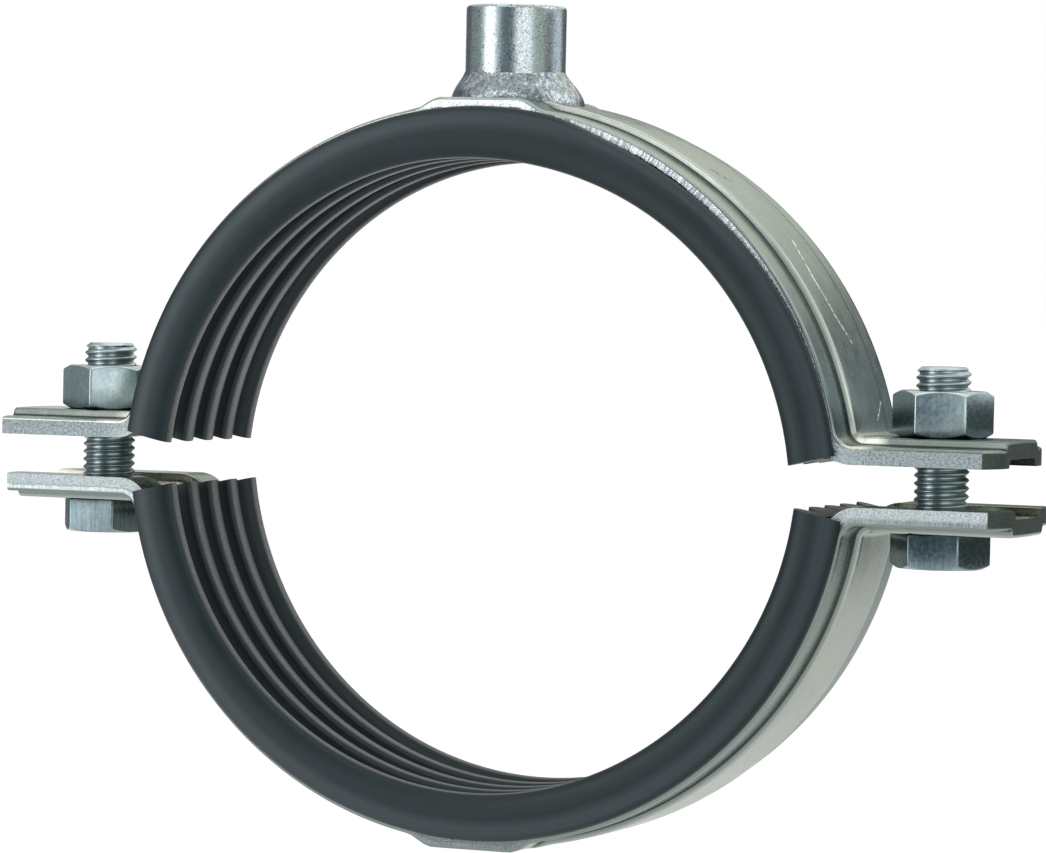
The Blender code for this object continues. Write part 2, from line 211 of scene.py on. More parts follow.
# Camera: turns in degrees, place in metres, focal length and axis in the picture's pixels
CAMERA_TURNS = (23.195, 2.822, 1.2)
CAMERA_PLACE = (0.44448, -1.01807, -0.05672)
PICTURE_SIZE = (1046, 853)
FOCAL_LENGTH = 4991.47
AXIS_PIXEL = (540.43, 508.24)
SENSOR_WIDTH = 36


def smooth_step(value):
    share = min(max(value, 0), 1)
    return share * share * (3 - 2 * share)


def flipped(faces):
    return [face[::-1] for face in faces]


def rounded(points, radii, steps):
    """Closed outline whose corners are replaced by arcs of the given radii."""
    points = np.array(points, float)
    result = []
    for here, before, after, radius in zip(points, np.roll(points, 1, 0), np.roll(points, -1, 0), radii):
        if radius == 0:
            result.append(here)
            continue
        lengths = [np.linalg.norm(before - here), np.linalg.norm(after - here)]
        back, ahead = (before - here) / lengths[0], (after - here) / lengths[1]
        angle = acos(back @ ahead)
        reach = min(radius / tan(angle / 2), 0.49 * lengths[0], 0.49 * lengths[1])
        radius = reach * tan(angle / 2)
        middle = back + ahead
        centre = here + middle / np.linalg.norm(middle) * radius / sin(angle / 2)
        start, end = here + back * reach - centre, here + ahead * reach - centre
        sweep = pi - angle
        for share in np.linspace(0, 1, steps + 1):
            spoke = sin((1 - share) * sweep) * start + sin(share * sweep) * end
            result.append(centre + spoke / sin(sweep))
    return np.array(result)


def refine(outline, longest):
    """Closed outline with points added so that no side is longer than the given length."""
    result = []
    for here, ahead in zip(outline, np.roll(outline, -1, 0)):
        pieces = max(1, ceil(np.linalg.norm(ahead - here) / longest))
        result += [here + (ahead - here) * j / pieces for j in range(pieces)]
    return np.array(result)


def ring_faces(stations, ring, closed_path=False):
    faces = []
    for place in range(stations if closed_path else stations - 1):
        here = place * ring
        there = (place + 1) % stations * ring
        for k in range(ring):
            after = (k + 1) % ring
            faces.append((here + k, here + after, there + after, there + k))
    return faces


def link_object(name, data):
    made = bpy.data.objects.new(name, data)
    bpy.context.scene.collection.objects.link(made)
    return made


def add_piece(name, points, faces, materials, body, node, along=None, picks=None, angle=40):
    """Closed piece in the frame. along is a coordinate per point for its textures."""
    points = np.asarray(points, float)
    placed = points * MM
    placed[:, 2] -= PIPE_DROP * MM
    mesh = bpy.data.meshes.new(name)
    mesh.from_pydata(placed.tolist(), [], faces)
    for material in materials:
        mesh.materials.append(material)
    if picks is not None:
        mesh.polygons.foreach_set("material_index", np.asarray(picks, np.int32))
    if along is not None:
        field = mesh.attributes.new("along", "FLOAT_VECTOR", "POINT")
        field.data.foreach_set("vector", (np.asarray(along, float) * MM).astype(np.float32).ravel())
    mesh.update()
    mesh.shade_smooth()
    mesh.set_sharp_from_angle(angle=radians(angle))
    piece = link_object(name, mesh)
    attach(piece, body)
    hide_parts(node)
    return piece


# Materials

def feed(tree, socket, value):
    """Links a socket to another one, or sets it to a value."""
    if isinstance(value, bpy.types.NodeSocket):
        tree.links.new(value, socket)
    elif socket.type == "RGBA":
        socket.default_value = (*value, 1)
    else:
        socket.default_value = value


def add_node(tree, kind, inputs=None, **settings):
    made = tree.nodes.new("ShaderNode" + kind)
    for key, value in settings.items():
        setattr(made, key, value)
    for key, value in (inputs or {}).items():
        feed(tree, made.inputs[key], value)
    return made


class Shader:
    """A Principled material and short ways to feed it."""

    def __init__(self, name, metallic, roughness, **constants):
        self.material = bpy.data.materials.new(name)
        self.material.use_nodes = True
        self.tree = self.material.node_tree
        self.shader = self.tree.nodes["Principled BSDF"]
        constants.update(Metallic=metallic, Roughness=roughness)
        for key, value in constants.items():
            feed(self.tree, self.shader.inputs[key.replace("_", " ")], value)

    def place(self, source="Object", stretch=(1, 1, 1)):
        """Coordinates in metres: the piece's own place, or its "along" field."""
        if source == "along":
            found = add_node(self.tree, "Attribute", attribute_name="along").outputs["Vector"]
        else:
            found = add_node(self.tree, "TexCoord").outputs[source]
        return add_node(self.tree, "Mapping", {"Vector": found, "Scale": stretch}).outputs["Vector"]

    def part(self, vector, axis):
        return add_node(self.tree, "SeparateXYZ", {0: vector}).outputs[axis]

    def noise(self, vector, scale, detail=3, rough=0.55, distort=0):
        inputs = {"Vector": vector, "Scale": scale, "Detail": detail, "Roughness": rough,
                  "Distortion": distort}
        return add_node(self.tree, "TexNoise", inputs).outputs["Fac"]

    def cells(self, vector, scale):
        return add_node(self.tree, "TexVoronoi", {"Vector": vector, "Scale": scale}).outputs["Distance"]

    def span(self, value, low, high, to_low=0, to_high=1):
        inputs = {"Value": value, "From Min": low, "From Max": high, "To Min": to_low,
                  "To Max": to_high}
        return add_node(self.tree, "MapRange", inputs).outputs["Result"]

    def fade(self, value, places, to_low=0, to_high=1):
        """Runs from one level to the other between two places in millimetres."""
        return self.span(value, places[0] * MM, places[1] * MM, to_low, to_high)

    def window(self, value, places):
        """1 between the two inner of four places in millimetres, fading to 0 at the outer two."""
        start, full, fading, gone = places
        return self.times(self.fade(value, (start, full)), self.fade(value, (gone, fading)))

    def math(self, operation, a, b=0, c=0):
        return add_node(self.tree, "Math", {0: a, 1: b, 2: c}, operation=operation).outputs[0]

    def times(self, first, *others):
        for other in others:
            first = self.math("MULTIPLY", first, other)
        return first

    def length(self, u, v):
        return self.math("SQRT", self.math("MULTIPLY_ADD", u, u, self.times(v, v)))

    def stroke(self, u, v, start, end, width):
        """1 along a short stroke between two places of a surface, fading to 0 beside it."""
        run = (end[0] - start[0], end[1] - start[1])
        square = run[0] ** 2 + run[1] ** 2
        from_u = self.math("SUBTRACT", u, start[0])
        from_v = self.math("SUBTRACT", v, start[1])
        share = self.math("MULTIPLY_ADD", from_v, run[1] / square, self.times(from_u, run[0] / square))
        share = self.span(share, 0, 1)
        off_u = self.math("SUBTRACT", from_u, self.times(share, run[0]))
        off_v = self.math("SUBTRACT", from_v, self.times(share, run[1]))
        return self.span(self.length(off_u, off_v), width * 0.4, width, 1, 0)

    def layers(self, colour, *coats):
        """The colour under coats laid on in turn, each a share and a colour."""
        for share, coat in coats:
            inputs = {0: share, 6: colour, 7: coat}
            colour = add_node(self.tree, "Mix", inputs, data_type="RGBA").outputs[2]
        return colour

    def relief(self, *heights):
        """Normal of bumps laid over each other, each a height and its depth in metres."""
        inputs = {}
        for height, depth in heights:
            inputs.update({"Strength": 1, "Distance": depth, "Height": height})
            inputs["Normal"] = add_node(self.tree, "Bump", inputs).outputs["Normal"]
        return inputs["Normal"]

    def finish(self, colour, roughness, normal):
        for key, value in (("Base Color", colour), ("Roughness", roughness), ("Normal", normal)):
            feed(self.tree, self.shader.inputs[key], value)
        return self.material


def scuff_share(s, own, scuffs, width):
    """1 on the broken scuffs of the upper bead."""
    arc = (BAND_OUTER + BEAD_RAISE) * MM
    rise = s.math("ADD", s.part(own, 2), (PIPE_DROP + CENTRE_OFFSET[1]) * MM)
    u = s.times(s.math("ARCTAN2", rise, s.part(own, 0)), arc)
    v = s.part(own, 1)
    total = 0
    for scuff in scuffs:
        places = [(radians(angle) * arc, y * MM) for angle, y in scuff]
        for start, end in zip(places, places[1:]):
            total = s.math("MAXIMUM", total, s.stroke(u, v, start, end, width * MM))
    return s.times(total, s.span(s.noise(own, 1150, 3, 0.7), 0.47, 0.53))


def band_tones(s, own, colour):
    """The strip's colour: a lighter lower half, darker lower margins, painted highlights on the upper
    bends, in the lower ears' bead hollows and on the bead's shoulder, painted shade on the upper ears, low
    on the upper arcs and on the lower flanks, a dark line at the bead's foot, and its scuffs.
    """
    x, y, height = [s.part(own, axis) for axis in range(3)]
    sideways = s.math("ABSOLUTE", x)
    across = s.math("ABSOLUTE", s.part(s.place("along"), 1))
    lower = s.fade(height, LOWER_HALF)
    upper = s.math("SUBTRACT", 1, lower)
    around_bolt = s.length(s.math("SUBTRACT", sideways, BOLT_X * MM), y)
    # Painted shade: the upper ears are darker, most round the bolts and on the right ear.
    bolt_shade = s.times(s.fade(sideways, EAR_ROOT), upper, s.fade(around_bolt, BOLT_SURROUND, 0.85, 0.55),
                   s.fade(x, LEFT_TO_RIGHT, 0.1, 1))
    # Painted highlight: the upper bends are lighter and creamier.
    bend = s.times(s.window(sideways, BEND_HIGHLIGHT_SIDES), s.fade(height, BEND_HIGHLIGHT_HEIGHTS), upper)
    # Painted highlight: a pale cream reflection in the bead's hollow on the lower ears.
    hollow_highlight = s.times(s.window(height, HOLLOW_HIGHLIGHT_HEIGHTS), s.fade(across, HOLLOW_HIGHLIGHT_SIDES))
    flank = s.math("SUBTRACT", across, BEAD_OUTER_HALF * MM)
    slope = s.window(flank, FLANK_SIDES)
    lit = s.times(s.fade(flank, FLANK_LIT), s.fade(height, FLANK_LIT_HEIGHTS, 0, 0.5), slope)
    shaded = s.times(s.fade(flank, FLANK_SHADED), slope, lower)
    foot = s.math("ABSOLUTE", s.math("SUBTRACT", flank, FLANK_FOOT * MM))
    return s.layers(
        colour,
        (s.times(lower, 0.5), (0.345, 0.345, 0.305)),
        (s.times(s.fade(across, BEAD_MARGIN), lower, 0.7), (0.11, 0.145, 0.14)),
        (bolt_shade, (0.085, 0.105, 0.095)),
        (s.times(bend, 0.7), (0.6, 0.6, 0.52)),
        (s.times(hollow_highlight, 0.8), (0.8, 0.78, 0.64)),
        # Painted shade: the upper arcs are darker low down, towards the bends.
        (s.times(s.window(height, LOW_ARC_SHADE_HEIGHTS), upper, 0.74), (0.095, 0.12, 0.118)),
        (lit, (0.62, 0.63, 0.57)),
        (s.times(shaded, 0.65), (0.085, 0.125, 0.125)),
        (s.fade(foot, FLANK_FOOT_LINE, 0.88, 0), (0.02, 0.026, 0.025)),
        (scuff_share(s, own, DARK_SCUFFS, DARK_SCUFF_WIDTH), (0.03, 0.035, 0.03)),
        (scuff_share(s, own, LIGHT_SCUFFS, LIGHT_SCUFF_WIDTH), (0.92, 0.94, 0.92)),
    )


def zinc_band():
    """Bright passivated zinc on rolled strip: clouds, drawn streaks, a soft waviness."""
    s = Shader("zinc_plated_strip", 1, 0.34, Specular_Tint=(0.75, 0.78, 0.76))
    own = s.place()
    tint = s.noise(own, 22)
    clouds = s.noise(own, 75, 4, 0.62)
    bloom = s.noise(own, 420, 4, 0.65)
    streaks = s.noise(s.place("along", (45, 900, 900)), 1, 3, 0.6)
    grain = s.noise(own, 3200, 3, 0.65)
    colour = s.layers(
        (0.235, 0.285, 0.275),
        (s.span(tint, 0.38, 0.62), (0.315, 0.335, 0.295)),
        (s.span(clouds, 0.35, 0.68, 0, 0.3), (0.37, 0.4, 0.37)),
        (s.span(bloom, 0.5, 0.75, 0, 0.35), (0.42, 0.44, 0.4)),
        (s.span(streaks, 0.3, 0.7, 0, 0.07), (0.15, 0.18, 0.175)),
        (s.span(grain, 0.36, 0.64, 0.3, 0), (0.15, 0.18, 0.175)),
        (s.span(s.cells(own, 900), 0.05, 0.1, 0.35, 0), (0.07, 0.08, 0.075)),
    )
    roughness = s.math("ADD", s.span(clouds, 0.3, 0.7, 0.2, 0.29), s.span(bloom, 0.3, 0.7, -0.02, 0.05))
    normal = s.relief((s.noise(own, 55, 2, 0.5), 0.0003), (bloom, 0.000022), (grain, 0.000009))
    return s.finish(band_tones(s, own, colour), roughness, normal)


def sheared_edge():
    """Face that the shear leaves: torn and sparkling over most of it, burnished along one side, its score
    lines and grain painted near-white as a highlight at the top and on the pad, painted shade on the upper
    ears, and darker towards the bottom.
    """
    s = Shader("sheared_edge", 1, 0.3)
    own = s.place()
    along = s.place("along")
    sideways = s.math("ABSOLUTE", s.part(own, 0))
    height = s.part(own, 2)
    grain = s.noise(own, 3600, 4, 0.7, 0.5)
    tears = s.noise(own, 1900, 3, 0.65)
    scores = s.noise(s.place("along", (2400, 1, 150)), 1, 3, 0.6)
    wobble = s.times(s.noise(along, 380, 3, 0.6), 0.0011)
    ears = s.times(s.fade(sideways, SHEARED_EAR_SIDES), s.fade(height, SHEARED_EAR_HEIGHTS))
    torn = s.fade(s.math("ADD", s.part(along, 2), wobble), TORN_DEPTHS)
    torn = s.math("MAXIMUM", torn, s.times(ears, 0.85))
    crown = s.fade(height, CROWN_HEIGHTS)
    pad = s.times(s.fade(sideways, SHEARED_PAD_SIDES, 1, 0), crown)
    rough_face = s.layers(
        (0.24, 0.28, 0.295),
        (s.span(grain, 0.4, 0.6), (0.53, 0.57, 0.58)),
        (s.span(tears, 0.5, 0.62, 0, 0.36), (0.12, 0.15, 0.165)),
    )
    # Real score lines and grain, painted near-white as a highlight on the top of the arc and on the pad.
    ridges_and_highlight = s.layers((0.2, 0.24, 0.265), (s.span(scores, 0.4, 0.6), (0.93, 0.95, 0.97)))
    fine = s.layers((0.38, 0.43, 0.46), (s.span(tears, 0.36, 0.47), (0.9, 0.92, 0.93)))
    # Painted shade: the upper ears' sheared faces are darker, with dark flecks.
    upper_ear_shade = s.layers((0.25, 0.3, 0.315), (s.span(tears, 0.4, 0.64), (0.055, 0.075, 0.08)))
    colour = s.layers(
        (0.2, 0.245, 0.25),
        (s.span(scores, 0.35, 0.65), (0.32, 0.37, 0.37)),
        (torn, rough_face),
        (s.times(crown, 0.75), ridges_and_highlight),
        (s.times(pad, 0.75), fine),
        (s.times(ears, 0.7), upper_ear_shade),
        (s.fade(height, SHEARED_FOOT_HEIGHTS, 0, 0.75), (0.08, 0.095, 0.095)),
    )
    normal = s.relief(
        (s.noise(along, 160, 2), 0.00022),
        (s.times(s.math("ADD", grain, s.times(tears, 1.8)), torn), 0.00012),
        (s.times(scores, s.span(pad, 0, 1, 1, 0.15)), 0.00006),
    )
    return s.finish(colour, s.span(grain, 0.3, 0.7, 0.22, 0.42), normal)


def ear_end():
    """Dull olive end faces of the ears."""
    s = Shader("ear_end_face", 1, 0.48, Specular_Tint=(0.6, 0.62, 0.6))
    grain = s.noise(s.place(), 2600, 4, 0.7)
    stripes = s.noise(s.place("Object", (1, 900, 60)), 1, 3, 0.6)
    colour = s.layers(
        (0.065, 0.077, 0.07),
        (s.span(grain, 0.35, 0.65), (0.155, 0.178, 0.164)),
        (s.span(stripes, 0.5, 0.75, 0, 0.4), (0.16, 0.18, 0.165)),
    )
    normal = s.relief((stripes, 0.00006), (grain, 0.00005))
    return s.finish(colour, s.span(grain, 0.3, 0.7, 0.4, 0.55), normal)


def boss_zinc():
    """Plated turned steel with a fine orange-peel surface."""
    s = Shader("zinc_plated_boss", 1, 0.3)
    own = s.place()
    peel = s.noise(s.place("Object", (1, 1, 0.7)), 2100, 3, 0.6, 0.3)
    mottle = s.noise(own, 620, 3, 0.6, 0.3)
    clouds = s.noise(own, 90, 3)
    turned = s.noise(s.place("Object", (8, 8, 2600)), 1, 2)
    sparse = s.span(s.noise(own, 260, 2), 0.36, 0.52)
    pits = s.times(s.span(s.cells(own, 1500), 0.14, 0.34, 1, 0), sparse, 0.9)
    colour = s.layers(
        (0.29, 0.345, 0.365),
        (s.span(peel, 0.36, 0.64), (0.39, 0.435, 0.44)),
        (s.span(mottle, 0.45, 0.7, 0, 0.18), (0.46, 0.49, 0.49)),
        (s.span(clouds, 0.4, 0.7, 0, 0.2), (0.3, 0.34, 0.35)),
        (pits, (0.035, 0.045, 0.05)),
        (s.span(s.cells(own, 1250), 0.1, 0.26, 0.75, 0), (0.8, 0.84, 0.86)),
    )
    normal = s.relief((mottle, 0.000028), (peel, 0.00001), (turned, 0.000004))
    return s.finish(colour, s.span(peel, 0.3, 0.7, 0.32, 0.22), normal)


def weld_zinc():
    """Plated weld metal with fine curved ripples round the boss."""
    s = Shader("plated_weld", 1, 0.33)
    own = s.place()
    grain = s.noise(own, 3000, 3, 0.7)
    lumps = s.noise(own, 1100, 4, 0.65)
    patches = s.noise(own, 330, 2, 0.5)
    ripples = s.noise(s.place("along", (2100, 750, 1)), 1, 3, 0.6, 0.3)
    shown = s.times(s.span(patches, 0.4, 0.6), s.span(ripples, 0.44, 0.6), 0.7)
    colour = s.layers(
        (0.11, 0.14, 0.155),
        (s.span(lumps, 0.36, 0.64), (0.36, 0.41, 0.43)),
        (shown, (0.52, 0.57, 0.59)),
        (s.span(grain, 0.35, 0.55, 0.5, 0), (0.09, 0.115, 0.125)),
        (s.span(s.cells(own, 1500), 0.14, 0.32, 0.75, 0), (0.04, 0.05, 0.055)),
        (s.span(s.cells(own, 1250), 0.12, 0.26, 0.7, 0), (0.8, 0.84, 0.86)),
    )
    rippled = s.times(ripples, s.span(patches, 0.4, 0.6, 0.3, 1))
    normal = s.relief((rippled, 0.00008), (lumps, 0.00006), (grain, 0.000012))
    return s.finish(colour, s.span(lumps, 0.3, 0.7, 0.32, 0.22), normal)


def fastener_zinc(name, low, high, blotch, gloss=(0.21, 0.33)):
    """Blue passivated zinc on cold-formed steel, with faint lines along the axis."""
    s = Shader(name, 1, 0.28)
    own = s.place()
    clouds = s.noise(own, 130, 3)
    mottle = s.noise(own, 1100, 3, 0.6)
    drawn = s.noise(s.place("Object", (1500, 1500, 60)), 1, 3, 0.6)
    colour = s.layers(
        low,
        (s.span(clouds, 0.3, 0.7), high),
        (s.span(drawn, 0.42, 0.72, 0, blotch * 1.6), (0.5, 0.56, 0.56)),
        (s.span(mottle, 0.5, 0.75, 0, blotch), (0.44, 0.49, 0.49)),
    )
    normal = s.relief((clouds, 0.0001), (drawn, 0.00001), (mottle, 0.000009))
    return s.finish(colour, s.span(mottle, 0.3, 0.7, *gloss), normal)


def black_rubber():
    """Extruded rubber: slate black with faint lines, dust and a painted sheen brownish along the crests,
    painted highlights on the crests near the ends and on the lips' outer band, and a painted sheen towards
    the ridges.
    """
    s = Shader("black_rubber", 0, 0.5, Specular_IOR_Level=0.27, Specular_Tint=(0.84, 0.97, 1))
    own = s.place()
    depth = s.part(s.place("along"), 2)
    lines = s.noise(s.place("along", (12, 1500, 1)), 1, 4, 0.6)
    bloom = s.noise(own, 60, 4, 0.6)
    grain = s.noise(own, 2800, 3, 0.65)
    dust = s.noise(own, 2200, 4, 0.7)
    across = s.math("ABSOLUTE", s.part(own, 1))
    from_ends = s.math("ABSOLUTE", s.math("ADD", s.part(own, 2), PIPE_DROP * MM))
    groove = s.times(s.fade(across, GROOVE_SIDES), s.fade(depth, GROOVE_DEPTHS), 0.85)
    # Real dust and a painted sheen on the rib crests.
    dust_and_sheen = s.times(s.fade(depth, RIB_CREST), s.span(dust, 0.38, 0.64, 0.3, 0.72))
    colour = s.layers(
        (0.0045, 0.0095, 0.0115),
        (s.span(bloom, 0.35, 0.7), (0.0075, 0.015, 0.0175)),
        (s.span(lines, 0.55, 0.8, 0, 0.35), (0.022, 0.029, 0.031)),
        # Painted highlight: a lighter band on the lip's outer part.
        (s.times(s.window(depth, LIP_HIGHLIGHT_BAND), 0.9), (0.036, 0.047, 0.054)),
        (groove, (0.05, 0.06, 0.064)),
        # Painted sheen: the ribs are lighter towards their ridges.
        (s.fade(depth, RIB_SHOULDER_SHEEN, 0, 0.7), (0.03, 0.037, 0.041)),
        (dust_and_sheen, (0.125, 0.134, 0.134)),
        # Painted highlight: the crests are lighter near the lining's ends.
        (s.times(dust_and_sheen, s.fade(from_ends, CREST_HIGHLIGHT_REACH, 0.8, 0)), (0.3, 0.31, 0.3)),
        (s.span(s.cells(own, 620), 0.05, 0.1, 0.1, 0), (0.16, 0.17, 0.17)),
    )
    roughness = s.math("ADD", s.span(bloom, 0.3, 0.7, 0.36, 0.46), s.span(grain, 0.3, 0.7, -0.03, 0.05))
    return s.finish(colour, roughness, s.relief((lines, 0.00003), (grain, 0.00001)))


# Half-shells

def press_rise(share):
    """Rise across a pressed flank: a tight foot, a straight slope and a softer shoulder."""
    foot, shoulder = 0.15, 0.55
    slope = 2 / (1 - foot + shoulder)
    if share <= 0:
        return 0
    if share < foot:
        return slope * share * share / (2 * foot)
    if share < shoulder:
        return slope * (share - foot / 2)
    if share < 1:
        return 1 - slope * (1 - share) ** 2 / (2 * (1 - shoulder))
    return 1


def bead_height(y, half_width):
    """Rise of the pressed bead at y, with a slight crown on its top."""
    share = (half_width + BEAD_RUN / 2 - abs(y)) / BEAD_RUN
    crown = BEAD_CROWN * max(0, 1 - (y / half_width) ** 2)
    return BEAD_RAISE * press_rise(share) + crown


def edge_roll(distance):
    """How far the sheared edge is drawn down at a distance from it."""
    if distance >= EDGE_ROLL:
        return 0
    lean = 1 - distance / EDGE_ROLL
    return EDGE_ROLL * (1 - sqrt(max(0, 1 - lean * lean)))


def flank_rows(half_width, count):
    return np.linspace(half_width + BEAD_RUN / 2, half_width - BEAD_RUN / 2, count)


def shell_ring():
    """The band's section as (y, place through the thickness, rise), round its outline."""
    outer = [BAND_HALF, 19.93, 19.8, 19.6, 19.3, 18.6, 17, 15, 13.2, 11.9]
    outer += [*flank_rows(BEAD_OUTER_HALF, 15), 8.7, 7.2, 5.4, 3.4, 1.2]
    inner = [BAND_HALF, 19.85, 18, 14.5, 11.5, *flank_rows(BEAD_INNER_HALF, 11), 5, 2]
    side = [3.1, 2.7, 2.3, 1.9, 1.5, 1.1, 0.7, 0.35, 0.12]
    ring = []
    for y in [-y for y in outer] + outer[::-1]:
        ring.append((y, BAND_THICKNESS - edge_roll(BAND_HALF - abs(y)), bead_height(y, BEAD_OUTER_HALF)))
    ring += [(BAND_HALF, t, 0) for t in side]
    ring += [(y, 0, bead_height(y, BEAD_INNER_HALF)) for y in inner + [-y for y in inner[::-1]]]
    ring += [(-BAND_HALF, t, 0) for t in side[::-1]]
    return ring


def pad_share(x):
    return smooth_step((PAD_FLANK_END - abs(x)) / (PAD_FLANK_END - PAD_HALF))


def shell_stations(centre_offset):
    """Stations from the right ear's end to the top, and the x at which the ear's bend starts.

    A station is (kind, place, facing). On the ear its place is a share of the ear's length.
    """
    bend_z = EAR_FACE_Z + BAND_THICKNESS / 2 + BEND_RADIUS
    reach = BAND_INNER + BAND_THICKNESS / 2 + BEND_RADIUS
    bend_x = sqrt(reach ** 2 - (bend_z + centre_offset) ** 2)
    arc_start = asin((bend_z + centre_offset) / reach)
    ear_length = EAR_END_X - bend_x
    from_end = [0, 0.06, 0.18, 0.35, 0.55, 0.75, 1.2, 2, 3.2, 5, 7, *np.arange(9.5, 30, 2.5)]
    half = [("ear", distance / ear_length, None) for distance in from_end]
    outer_bend = BEND_RADIUS + BAND_THICKNESS / 2
    turn = pi / 2 - arc_start
    for step in range(BEND_STEPS + 1):
        angle = pi / 2 - turn * step / BEND_STEPS
        nx, nz = cos(angle), sin(angle)
        half.append(("bend", (bend_x - outer_bend * nx, bend_z - outer_bend * nz), (nx, nz)))
    for step in range(1, ARC_STEPS + 1):
        angle = arc_start + turn * step / ARC_STEPS
        nx, nz = cos(angle), sin(angle)
        half.append(("arc", (BAND_INNER * nx, BAND_INNER * nz - centre_offset), (nx, nz)))
    return half, bend_x


def ear_point(y, t, rise, bend_x, where):
    """Place (x, z) on an ear, whose end is cut back towards its corners and rolled over."""
    corner = max(0, abs(y) - EAR_CORNER_START) / (BAND_HALF - EAR_CORNER_START)
    end_x = EAR_END_X - EAR_CORNER_CUT * corner ** EAR_CORNER_POWER
    distance = (end_x - bend_x) * where
    through = min(t, BAND_THICKNESS - edge_roll(distance)) if t > BAND_THICKNESS / 2 else t
    return end_x - distance, EAR_FACE_Z + through + rise


def arc_point(kind, t, rise, where, facing):
    """Place (x, z) on a bend or the arc, where the bead sinks and gives way to the pad."""
    nx, nz = facing
    lower = 1 if kind == "arc" else min(1, nx / 0.9)
    height = t + rise * (1 - (1 - BEAD_ARC_SHARE) * lower)
    share = pad_share(PAD_RADIUS * nx) if kind == "arc" else 0
    if share > 0:
        flat = PAD_RADIUS / nz - BAND_INNER - BAND_THICKNESS + t
        height += (flat - height) * share
    return where[0] + nx * height, where[1] + nz * height


def shell_points(side):
    """Points of one half-shell, its texture field, and how many stations and points in each."""
    ring = shell_ring()
    half, bend_x = shell_stations(CENTRE_OFFSET[side])
    rows = [(station, 1) for station in half] + [(station, -1) for station in half[-2::-1]]
    points = []
    along = []
    travelled = 0
    before = None
    for (kind, where, facing), hand in rows:
        if kind == "ear":
            middle = (hand * (EAR_END_X - (EAR_END_X - bend_x) * where), EAR_FACE_Z)
        else:
            middle = (hand * where[0], where[1])
        if before is not None:
            travelled += dist(before, middle)
        before = middle
        for y, t, rise in ring:
            if kind == "ear":
                x, z = ear_point(y, t, rise, bend_x, where)
            else:
                x, z = arc_point(kind, t, rise, where, facing)
            points.append((hand * x + SHIFT[side], y, side * z))
            along.append((travelled, y, t if side > 0 else BAND_THICKNESS - t))
    return np.array(points), np.array(along), len(rows), len(ring)


def add_drill(x):
    """Round tool for a bolt hole at x."""
    rim = []
    for angle in np.linspace(0, 2 * pi, HOLE_SIDES, endpoint=False):
        rim.append(((x + EAR_HOLE * cos(angle)) * MM, EAR_HOLE * sin(angle) * MM))
    levels = (-(PIPE_DROP + DRILL_REACH) * MM, -(PIPE_DROP - DRILL_REACH) * MM)
    faces = ring_faces(2, HOLE_SIDES)
    faces += [tuple(range(HOLE_SIDES - 1, -1, -1)), tuple(range(HOLE_SIDES, 2 * HOLE_SIDES))]
    mesh = bpy.data.meshes.new("drill")
    mesh.from_pydata([(px, py, z) for z in levels for px, py in rim], [], faces)
    return link_object("drill", mesh)


def cut_holes(piece, shift):
    """Drills the two bolt holes and gives the new points their texture field."""
    tree = KDTree(len(piece.data.vertices))
    known = [item.vector[:] for item in piece.data.attributes["along"].data]
    for vertex in piece.data.vertices:
        tree.insert(vertex.co, vertex.index)
    tree.balance()
    drills = [add_drill(x) for x in (shift - BOLT_X, shift + BOLT_X)]
    for drill in drills:
        cut = piece.modifiers.new("hole", "BOOLEAN")
        cut.operation = "DIFFERENCE"
        cut.solver = "EXACT"
        cut.object = drill
    graph = bpy.context.evaluated_depsgraph_get()
    mesh = bpy.data.meshes.new_from_object(piece.evaluated_get(graph))
    piece.modifiers.clear()
    piece.data = mesh
    for drill in drills:
        bpy.data.objects.remove(drill)
    values = np.array([known[tree.find(vertex.co)[1]] for vertex in mesh.vertices], np.float32)
    mesh.attributes["along"].data.foreach_set("vector", values.ravel())


def section_faces(outline, points):
    """Triangles across the band's section, zipped from its outer chain to its inner one."""
    ys = points[:, 1]
    quarter = len(outline) / 4
    far = min(range(len(outline)), key=lambda k: (-round(ys[outline[k]], 3), -abs(k - quarter)))
    outer = outline[:far + 1]
    inner = [outline[0]] + outline[:far - 1:-1]
    order = sorted([(ys[k], 0) for k in outer[1:]] + [(ys[k], 1) for k in inner[1:]])
    faces = []
    a = b = 0
    for _, on_inner in order:
        if on_inner:
            face = (outer[a], inner[b + 1], inner[b])
            b += 1
        else:
            face = (outer[a], outer[a + 1], inner[b])
            a += 1
        if len(set(face)) == 3:
            faces.append(face)
    return faces


def add_shell(half, side, materials):
    points, along, stations, ring = shell_points(side)
    faces = ring_faces(stations, ring)
    if side < 0:
        faces = flipped(faces)
    edges = np.abs(points[:, 1]) > BAND_HALF - 0.05
    picks = [int(edges[list(face)].all()) for face in faces]
    caps = []
    for base, flip in ((0, side < 0), ((stations - 1) * ring, side > 0)):
        cap = section_faces([base + k for k in range(ring)], points)
        caps += flipped(cap) if flip else cap
    picks += [2] * len(caps)
    piece = add_piece(half + "_shell", points, faces + caps, materials, half + "_half",
                      half + "_half_shell", along, picks)
    cut_holes(piece, SHIFT[side])


def shell_top(x, y):
    """Height of the upper shell's outer surface above the closing plane."""
    reach = PAD_RADIUS
    arc = BAND_OUTER + bead_height(y, BEAD_OUTER_HALF) * BEAD_ARC_SHARE
    for _ in range(8):
        rise = sqrt(reach * reach - x * x) / reach
        reach = arc + (PAD_RADIUS / rise - arc) * pad_share(x)
    return sqrt(reach * reach - x * x) - CENTRE_OFFSET[1]


# Rubber linings

